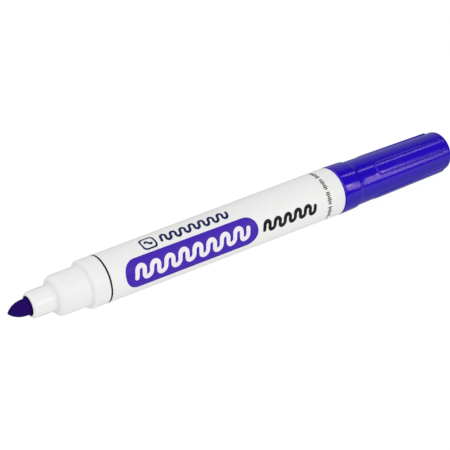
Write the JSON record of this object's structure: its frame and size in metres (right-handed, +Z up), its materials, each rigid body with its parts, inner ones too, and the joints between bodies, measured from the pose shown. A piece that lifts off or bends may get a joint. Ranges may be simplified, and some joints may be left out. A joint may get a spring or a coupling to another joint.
{
  "type": "whiteboard marker",
  "caption": "Round felt-tip whiteboard marker: stepped white barrel with a bullet fibre nib, push-on cap with raised finger pads posted on its rear end.",
  "frame": {"origin": "middle of the bounding box, which is on the pen's axis", "axes": "+X along the pen's axis from the nib to the closed end of the posted cap, +Z up with the pen lying down"},
  "size_m": [0.1576, 0.0152, 0.0152],
  "materials": {
    "white_plastic": "satin white polypropylene",
    "nib_fibre": "bonded fibre soaked with blue-violet ink",
    "reservoir_fibre": "fibre wadding soaked with ink",
    "clear_film": "thin clear film",
    "plug_plastic": "glossy blue-violet polypropylene",
    "cap_plastic": "glossy blue-violet polypropylene",
    "liner_plastic": "natural soft polyethylene"
  },
  "bodies": {
    "barrel": {"barrel_shell": "white_plastic", "nib": "nib_fibre", "reservoir_core": "reservoir_fibre", "reservoir_film": "clear_film", "rear_plug": "plug_plastic"},
    "liner": {"cap_liner": "liner_plastic"},
    "cap": {"cap_shell": "cap_plastic"}
  },
  "joints": [
    {"name": "cap_pull", "type": "slide", "parent": "barrel", "child": "liner", "axis": [1, 0, 0], "range_m": [0, 0.012]},
    {"name": "cap_twist", "type": "hinge", "parent": "liner", "child": "cap", "pos_m": [0.0556, 0, 0], "axis": [1, 0, 0], "continuous": true}
  ]
}
